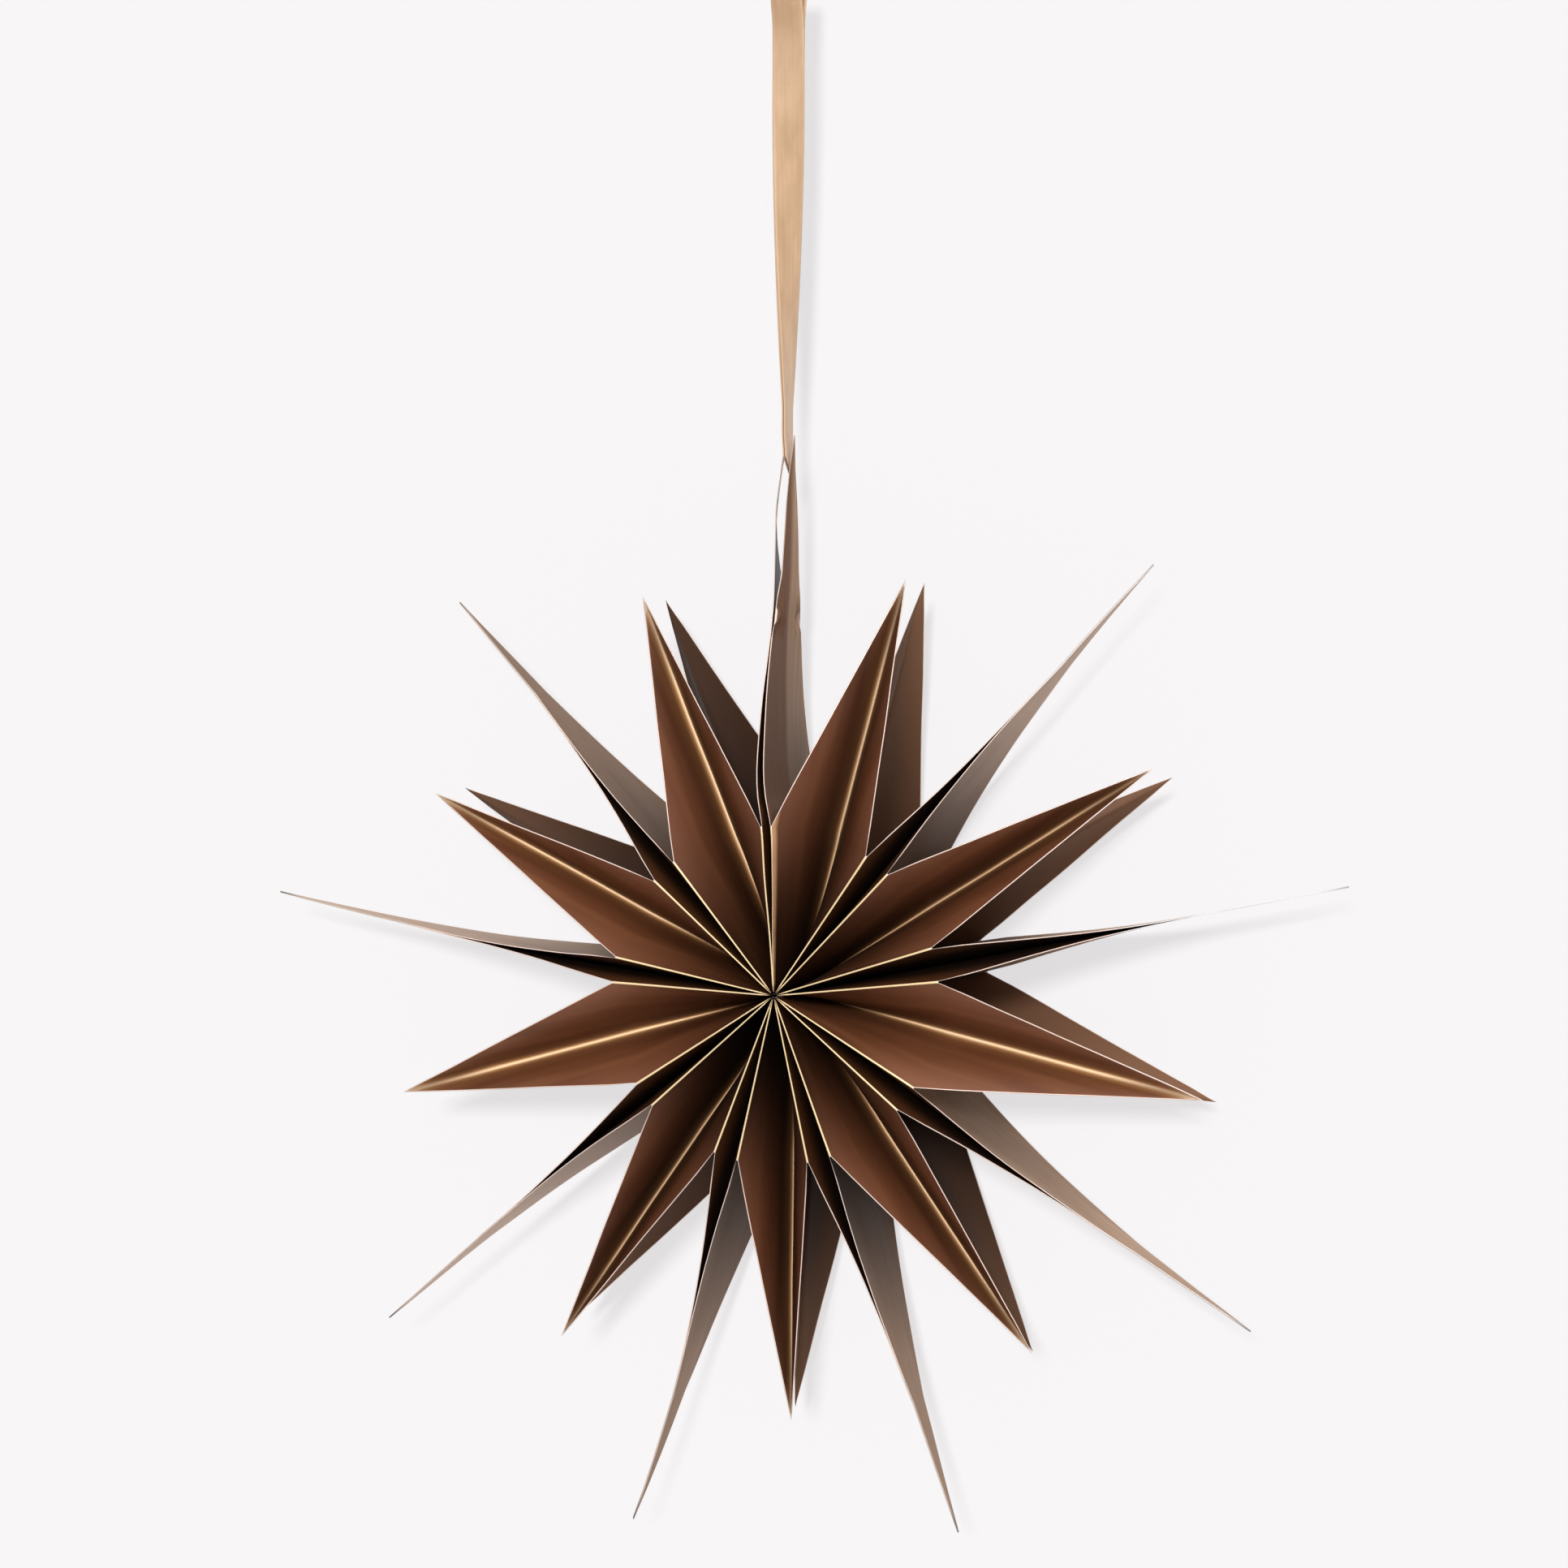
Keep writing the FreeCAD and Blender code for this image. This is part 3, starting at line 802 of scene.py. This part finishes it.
# %% Taupe inside with painted shade, and pale cut edge
NOTCH_PAINTED_SHADE_FADES = (0.07, 0.15)
FRONT_HALF = (HALF_WIDTH - 0.003, HALF_WIDTH + 0.002)
BACK_POINT_SHADE_FADES = (0.06, 0.165)
CORE_DULLS = (0.14, 0.17)
CORE_WHITENS = (0.12, 0.145)

taupe, tree, shader = new_material("taupe_inside_and_painted_shade")
at, _, in_half, level = flat_pattern(tree)
on_pleat = in_half.over(PANEL_WIDTH)
streaks = grain(tree, at, (1.0, 0.08), 300.0, 3.0)
clouds = grain(tree, at, (1.0, 0.5), 20.0, 2.0)
colour = blend_colour(tree, clouds.step(0.3, 0.7), shade(172, 140, 115), shade(194, 162, 136))
colour = blend_colour(tree, streaks.step(0.3, 0.8) * 0.3, colour, shade(118, 92, 76))
# Painted shade and painted light on the panels, as much as each bag's shares
colour = blend_colour(tree, stored(tree, "panel_painted_shade"), colour, shade(122, 96, 78))
colour = blend_colour(tree, stored(tree, "panel_painted_light"), colour, shade(232, 208, 190))
# Painted shade near the notch
painted_shade_near_notch = (1.0 - level.step(*NOTCH_PAINTED_SHADE_FADES)) * stored(tree, "notch_painted_shade")
colour = blend_colour(tree, painted_shade_near_notch, colour, shade(74, 54, 42))
front_half = in_half.step(*FRONT_HALF) * stored(tree, "front_brown")
colour = blend_colour(tree, front_half, colour, shade(112, 80, 60))
# The back points' inside is painted shade, deepest near the notch; the back share adds painted
# light, or below 0 more painted shade
shade_fades_up_point = level.step(*BACK_POINT_SHADE_FADES)
back_pleat_shade_colour = blend_colour(tree, shade_fades_up_point, shade(56, 35, 23), shade(112, 80, 58))
back_painted_light = stored(tree, "back_painted_light")
back_pleat_shade_colour = blend_colour(tree, back_painted_light, back_pleat_shade_colour, shade(138, 100, 76))
back_pleat_shade_colour = blend_colour(tree, back_painted_light * -1.0, back_pleat_shade_colour, shade(58, 38, 28))
colour = blend_colour(tree, on_pleat, colour, back_pleat_shade_colour)
colour = blend_colour(tree, cut_line(tree, level), colour, PALE_CORE)
plug(tree, shader.inputs["Base Color"], colour)
plug(tree, shader.inputs["Roughness"], 0.5 + streaks * 0.15)
shader.inputs["Specular IOR Level"].default_value = 0.12
paper_bump(tree, shader, grain(tree, at, FIBRE_STRETCH, FIBRE_SCALE, 3.0))

pale, tree, shader = new_material("pale_cut_edge")
at, _, _, level = flat_pattern(tree)
flecks = grain(tree, at, (1.0, 1.0), 900.0, 2.0)
colour = blend_colour(tree, flecks.step(0.35, 0.7), shade(244, 216, 202), PALE_CORE)
colour = blend_colour(tree, level.step(*CORE_DULLS), colour, shade(206, 186, 172))
white = level.step(*CORE_WHITENS) * stored(tree, "white_core")
colour = blend_colour(tree, white, colour, shade(243, 241, 241))
plug(tree, shader.inputs["Base Color"], colour)
shader.inputs["Roughness"].default_value = 0.8
print(taupe.name, "and", pale.name, "ready")

# %% [markdown]
# Each bag is an object of its own, as each real bag is a piece of its own. It gets the
# folding tree with its own angles, the result is made a plain mesh, and Solidify gives the
# sheet its gauge. Solidify also gives the inside and the cut edges their own materials.

# %% Fold the nine bags
def socket_identifier(tree, name):
    """The identifier of a named input, by which a modifier's value is set."""
    for item in tree.interface.items_tree:
        if item.item_type == "SOCKET" and item.in_out == "INPUT" and item.name == name:
            return item.identifier
    raise KeyError(name)


def plain_mesh(maker, name):
    """The evaluated object's mesh, as a new plain mesh."""
    graph = bpy.context.evaluated_depsgraph_get()
    mesh = bpy.data.meshes.new_from_object(maker.evaluated_get(graph), depsgraph=graph)
    mesh.name = name
    return mesh


def fold_bag(index):
    """Folds one bag and gives it its gauge."""
    name = f"folded_paper_bag_{index + 1}"
    maker = bpy.data.objects.new(name, bpy.data.meshes.new("flat_" + name))
    bpy.context.scene.collection.objects.link(maker)
    modifier = maker.modifiers.new("fold", "NODES")
    modifier.node_group = folding
    own = {**own_sizes(index), "Centre": STAR_CENTRE, "Paper": brown}
    for input_name, value in own.items():
        modifier[socket_identifier(folding, input_name)] = value
    mesh = plain_mesh(maker, name)
    maker.modifiers.clear()
    maker.data = mesh
    for material in (brown, taupe, pale):
        if material.name not in mesh.materials:
            mesh.materials.append(material)
    group = maker.vertex_groups.new(name="room")
    for vertex, item in enumerate(mesh.attributes["room"].data):
        group.add([vertex], item.value, "REPLACE")
    solidify = maker.modifiers.new("gauge", "SOLIDIFY")
    solidify.thickness = PAPER_GAUGE
    solidify.offset = -1.0
    solidify.vertex_group = "room"
    solidify.material_offset = 1
    solidify.material_offset_rim = 2
    solid_mesh = plain_mesh(maker, name)
    maker.modifiers.clear()
    maker.vertex_groups.clear()
    maker.data = solid_mesh
    return maker


bags = [fold_bag(index) for index in range(BAG_COUNT)]
for index, piece in enumerate(bags):
    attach(piece, "root")
    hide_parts(f"paper_bag_{index + 1}")
print("bag 1 has", len(bags[0].data.polygons), "faces")

# %% [markdown]
# The ribbon is a satin band about half an inch wide. It is doubled: one strand goes up,
# round the loop at the top and down again, with both ends held at the top seam. It is a band
# with a real edge, so it is built as a mesh along its path, with a quarter turn on the way.

# %% The ribbon's path
RIBBON_WIDTH = 0.0127
RIBBON_GAUGE = 0.0004
STRAND_GAP = 0.0004
RIBBON_HOLD = 0.018
HELD_STATIONS = 10
END_SLANT = 0.009
TWIST_LENGTH = 0.160
LOOP_INNER_RADIUS = 0.005
LOOP_LENGTH = 0.028
STRAND_STEPS = 90
NECK_STEPS = 12
LOOP_STEPS = 24


def smooth(value):
    """A soft step from 0 to 1."""
    value = min(max(value, 0.0), 1.0)
    return value * value * (3 - 2 * value)


def top_seam_point(level):
    """A point in the middle plane of the top seam."""
    turn = math.radians(FIRST_SEAM_LEAN)
    return STAR_CENTRE + Vector((math.sin(turn), 0.0, math.cos(turn))) * level


def strand_path():
    """Offset from the middle and the middle's place, up one strand, round and down."""
    middle = LOOP_INNER_RADIUS + RIBBON_GAUGE / 2
    close = (STRAND_GAP + RIBBON_GAUGE) / 2
    neck = Vector((0, 0, -LOOP_LENGTH))
    tip = top_seam_point(POINT_HEIGHT)
    up = []
    for step in range(HELD_STATIONS):
        below = RIBBON_HOLD * (1 - step / HELD_STATIONS)
        up.append((close, top_seam_point(POINT_HEIGHT - below)))
    for step in range(STRAND_STEPS + 1):
        up.append((close, tip + (neck - tip) * (step / STRAND_STEPS)))
    for step in range(1, NECK_STEPS + 1):
        part = step / NECK_STEPS
        offset = close + (middle - close) * smooth(part)
        up.append((offset, neck * (1 - part) - Vector((0, 0, LOOP_INNER_RADIUS * part))))
    arc = []
    for step in range(1, LOOP_STEPS):
        turn = math.pi * step / LOOP_STEPS
        rise = Vector((0, 0, -LOOP_INNER_RADIUS + middle * math.sin(turn)))
        arc.append((middle * math.cos(turn), rise))
    return up + arc + [(-offset, centre) for offset, centre in reversed(up)]


path = strand_path()
print("the ribbon's path has", len(path), "stations")

# %% [markdown]
# Satin shows long glossy threads along the band, a fine weave under them and a closer selvage
# at each edge. A few soft dents cross it, as on a ribbon that was folded in a pack; they are
# bumped, and painted shade darkens them. The material reads the band's own coordinates: metres
# across it and along it.

# %% Satin ribbon material
WEFT_PITCH = 0.00045
WARP_PITCH = 0.0003
SELVAGE = (0.0004, 0.001)

tan, tree, shader = new_material("tan_satin_ribbon")
band, band_across, band_along = sheet_place(tree, "band")
threads = grain(tree, band, (1.0, 0.04), 2600.0, 2.0)
weft = (band_along * (2 * math.pi / WEFT_PITCH)).do("SINE")
warp = (band_across * (2 * math.pi / WARP_PITCH)).do("SINE")
clouds = grain(tree, band, (1.0, 0.35), 90.0, 3.0)
long_streaks = grain(tree, band, (1.0, 0.02), 900.0, 2.0)
colour = blend_colour(tree, clouds.step(0.3, 0.7), shade(196, 159, 123), shade(218, 181, 144))
colour = blend_colour(tree, long_streaks.step(0.35, 0.7) * 0.35, colour, shade(188, 150, 114))
from_edge = RIBBON_WIDTH / 2 - band_across.do("ABSOLUTE")
selvage = 1.0 - from_edge.step(*SELVAGE)
colour = blend_colour(tree, selvage * 0.6, colour, shade(232, 198, 162))
dent_with_painted_shade = grain(tree, band, (0.25, 1.0), 36.0, 1.0)
# Painted shade in the dents
colour = blend_colour(tree, dent_with_painted_shade.step(0.66, 0.76) * 0.45, colour, shade(186, 146, 108))
plug(tree, shader.inputs["Base Color"], colour)
plug(tree, shader.inputs["Roughness"], 0.42 + threads * 0.15)
shader.inputs["Sheen Weight"].default_value = 0.25
shader.inputs["Sheen Roughness"].default_value = 0.4
shader.inputs["Specular IOR Level"].default_value = 0.4
bump = add_node(
    tree,
    "ShaderNodeBump",
    0,
    named={
        "Strength": 0.35,
        "Distance": 0.0001,
        "Height": weft * 0.3 + warp * 0.25 + threads * 0.8 - dent_with_painted_shade.step(0.6, 0.8) * 2.0,
    },
)
plug(tree, shader.inputs["Normal"], bump)
print(tan.name, "has", len(tree.nodes), "nodes")

# %% [markdown]
# At each station of the path stands a thin flat ring of points, and faces join it to the next.
# The band faces the front at the top and turns by a quarter on its way down, so that its lower
# end lies flat between the two end panels.

# %% Build the ribbon
COLUMNS_ACROSS = 12
TWIST_TOP = -LOOP_LENGTH / 2


def ribbon_rings():
    """Rings of points round the band, one for each station of the path, and its length."""
    rings = []
    lengths = []
    total = 0.0
    before_place = None
    for index, (offset, centre) in enumerate(path):
        back_offset, back_centre = path[max(index - 1, 0)]
        next_offset, next_centre = path[min(index + 1, len(path) - 1)]
        run = Vector((next_offset - back_offset, 0, next_centre.z - back_centre.z)).normalized()
        turned = (centre.z - TWIST_TOP + TWIST_LENGTH) / TWIST_LENGTH
        twist = math.pi / 2 * min(max(turned, 0.0), 1.0)
        face = Vector((math.cos(twist), -math.sin(twist), 0))
        across = Vector((math.sin(twist), math.cos(twist), 0))
        place = centre + face * offset
        thick = (face * run.z - Vector((0, 0, run.x))) * (RIBBON_GAUGE / 2)
        wide = across * (RIBBON_WIDTH / 2)
        # The ends are cut at a slant, higher at the front
        from_end = min(index, len(path) - 1 - index)
        slant = Vector((0, 0, END_SLANT * max(0.0, 1 - from_end / HELD_STATIONS)))
        parts = [k / COLUMNS_ACROSS for k in range(COLUMNS_ACROSS + 1)]
        top = [place + wide * (1 - 2 * part) + slant * part + thick for part in parts]
        low = [place - wide * (1 - 2 * part) + slant * (1 - part) - thick for part in parts]
        if before_place is not None:
            total += (place - before_place).length
        before_place = place
        rings.append(top + low)
        lengths.append(total)
    return rings, lengths


rings, lengths = ribbon_rings()
around_band = len(rings[0])
vertices = [point for ring in rings for point in ring]
faces = []
face_uvs = []
spots = [RIBBON_WIDTH * (0.5 - k / COLUMNS_ACROSS) for k in range(COLUMNS_ACROSS + 1)]
spots = spots + [-spot for spot in spots]
for station in range(len(rings) - 1):
    for k in range(around_band):
        k_next = (k + 1) % around_band
        first = station * around_band
        second = first + around_band
        faces.append((first + k, first + k_next, second + k_next, second + k))
        low_v, high_v = lengths[station], lengths[station + 1]
        face_uvs.append(
            ((spots[k], low_v), (spots[k_next], low_v), (spots[k_next], high_v), (spots[k], high_v))
        )
last = (len(rings) - 1) * around_band
faces.append(tuple(reversed(range(around_band))))
faces.append(tuple(last + k for k in range(around_band)))
face_uvs.append(tuple((spots[k], 0.0) for k in reversed(range(around_band))))
face_uvs.append(tuple((spots[k], lengths[-1]) for k in range(around_band)))
ribbon_mesh = bpy.data.meshes.new("satin_ribbon")
ribbon_mesh.from_pydata([tuple(point) for point in vertices], [], faces)
layer = ribbon_mesh.uv_layers.new(name="band")
for polygon, corners in zip(ribbon_mesh.polygons, face_uvs):
    for loop, corner in zip(polygon.loop_indices, corners):
        layer.data[loop].uv = corner
    polygon.use_smooth = len(polygon.vertices) == 4
ribbon_mesh.materials.append(tan)
ribbon = bpy.data.objects.new("satin_ribbon", ribbon_mesh)
bpy.context.scene.collection.objects.link(ribbon)
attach(ribbon, "root")
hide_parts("ribbon")
print("the ribbon is", round(lengths[-1], 3), "m long and", len(faces), "faces")

# %% [markdown]
# The star hangs in front of a plain pale wall, over a plain pale floor. The wall is seen
# nearly flat and bright, with a faint soft shadow, so for the camera it is mostly a steady
# glow with some plain diffuse that takes the shadow. Both are clear from behind, so that the
# star can be looked at from all sides.

# %% Wall and floor
WALL_DISTANCE = 0.0465
FLOOR_DROP = 0.95
STAGE_SIDE = 4.0
WALL_TOP = 3.0
FLOOR_FRONT = -5.0
FLOOR_BACK = 3.0
WALL_COLOUR = shade(248, 246, 247)
WALL_GLOW = 0.76
FLOOR_GLOW = 0.915
CATCH_SHARE = 0.12
PLAIN_SHARE = 0.55


def dimmed(colour, part):
    """A part of a colour."""
    return (*(value * part for value in colour[:3]), 1.0)


def looked_at(tree, *kinds):
    """1 for the camera's rays and for the other kinds named, else 0."""
    path_kind = tree.nodes.new("ShaderNodeLightPath")
    looks = Wire(tree, path_kind.outputs["Is Camera Ray"])
    for kind in kinds:
        looks = looks.most(Wire(tree, path_kind.outputs[kind]))
    return looks


def pale_stage(name, glow):
    """A pale surface that is clear from behind. glow is the steady light that the camera sees."""
    material = bpy.data.materials.new(name)
    material.use_nodes = True
    tree = material.node_tree
    tree.nodes.clear()
    plain = add_node(tree, "ShaderNodeBsdfDiffuse", 0, (dimmed(WALL_COLOUR, PLAIN_SHARE),))
    catcher = add_node(tree, "ShaderNodeBsdfDiffuse", 0, (dimmed(WALL_COLOUR, CATCH_SHARE),))
    light = add_node(tree, "ShaderNodeEmission", 0, (WALL_COLOUR, glow))
    seen = add_node(tree, "ShaderNodeAddShader", 0, (catcher, light))
    clear = add_node(tree, "ShaderNodeBsdfTransparent", 0)
    geometry = tree.nodes.new("ShaderNodeNewGeometry")
    looks = looked_at(tree, "Is Glossy Ray", "Is Transmission Ray")
    front = add_node(tree, "ShaderNodeMixShader", 0, (looks, plain, seen))
    both = add_node(
        tree, "ShaderNodeMixShader", 0, (Wire(tree, geometry.outputs["Backfacing"]), front, clear)
    )
    output = tree.nodes.new("ShaderNodeOutputMaterial")
    tree.links.new(both.socket, output.inputs["Surface"])
    return material


def stage_sheet(name, corners, material):
    """One flat sheet of the stage."""
    mesh = bpy.data.meshes.new(name)
    mesh.from_pydata(corners, [], [(0, 1, 2, 3)])
    mesh.materials.append(material)
    sheet = bpy.data.objects.new(name, mesh)
    bpy.context.scene.collection.objects.link(sheet)
    sheet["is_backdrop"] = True
    return sheet


low_z = STAR_CENTRE.z - FLOOR_DROP
wall_corners = [
    (-STAGE_SIDE, WALL_DISTANCE, low_z),
    (STAGE_SIDE, WALL_DISTANCE, low_z),
    (STAGE_SIDE, WALL_DISTANCE, WALL_TOP),
    (-STAGE_SIDE, WALL_DISTANCE, WALL_TOP),
]
floor_corners = [
    (-STAGE_SIDE, FLOOR_FRONT, low_z),
    (STAGE_SIDE, FLOOR_FRONT, low_z),
    (STAGE_SIDE, FLOOR_BACK, low_z),
    (-STAGE_SIDE, FLOOR_BACK, low_z),
]
wall = stage_sheet("wall", wall_corners, pale_stage("pale_wall", WALL_GLOW))
floor = stage_sheet("floor", floor_corners, pale_stage("pale_floor", FLOOR_GLOW))
print("wall", WALL_DISTANCE, "m behind the star's middle")

# %% [markdown]
# Two soft lamps light the star. One stands near the camera, a little above it, and falls
# straight into the open pleats. The other is larger and higher, from above and the right, so
# the sides that face up are a little brighter. A third lamp lights the wall and the floor
# only, as a photographer lights a background by itself, and gives the short shadow. The
# world gives a low even fill, and the camera sees it as the same pale ground.

# %% Lamps and world
FRONT_WAY = Vector((-0.12, 1.0, -0.26))
FRONT_STRENGTH = 1.5
FRONT_SOFTNESS = math.radians(10)
TOP_WAY = Vector((-0.45, 0.9, -0.95))
TOP_STRENGTH = 1.25
TOP_SOFTNESS = math.radians(50)
WALL_WAY = Vector((-0.12, 1.0, -0.19))
WALL_STRENGTH = 5.2
WALL_SOFTNESS = math.radians(7)
FILL = 0.36


def lamp_group(name, pieces):
    """A collection of the pieces that a lamp lights."""
    group = bpy.data.collections.new(name)
    for piece in pieces:
        group.objects.link(piece)
    return group


def soft_sun(name, way, strength, softness, lights):
    """A lamp far away that shines along way, on the pieces of one collection."""
    data = bpy.data.lights.new(name, "SUN")
    data.energy = strength
    data.angle = softness
    lamp = bpy.data.objects.new(name, data)
    lamp.rotation_euler = way.to_track_quat("-Z", "Y").to_euler()
    lamp.light_linking.receiver_collection = lights
    bpy.context.scene.collection.objects.link(lamp)
    return lamp


star_group = lamp_group("lit_star", [*bags, ribbon])
stage_group = lamp_group("lit_stage", [wall, floor])
soft_sun("front_lamp", FRONT_WAY, FRONT_STRENGTH, FRONT_SOFTNESS, star_group)
soft_sun("top_lamp", TOP_WAY, TOP_STRENGTH, TOP_SOFTNESS, star_group)
soft_sun("wall_lamp", WALL_WAY, WALL_STRENGTH, WALL_SOFTNESS, stage_group)

world = bpy.data.worlds.new("pale_room")
world.use_nodes = True
bpy.context.scene.world = world
tree = world.node_tree
tree.nodes.clear()
looks = looked_at(tree, "Is Transmission Ray")
seen = add_node(tree, "ShaderNodeBackground", 0, (WALL_COLOUR, 1.0))
fill = add_node(tree, "ShaderNodeBackground", 0, ((1.0, 1.0, 1.0, 1.0), FILL))
both = add_node(tree, "ShaderNodeMixShader", 0, (looks, fill, seen))
output = tree.nodes.new("ShaderNodeOutputWorld")
tree.links.new(both.socket, output.inputs["Surface"])
print("lamps", FRONT_STRENGTH, TOP_STRENGTH, "fill", FILL)

# %% [markdown]
# The visible star may stand a few millimetres past the solids, because some of its points are
# longer. Its visual box is printed here.

# %% The star's visual box
low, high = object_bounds()
print("visual box", [round(value, 4) for value in (*low, *high)])
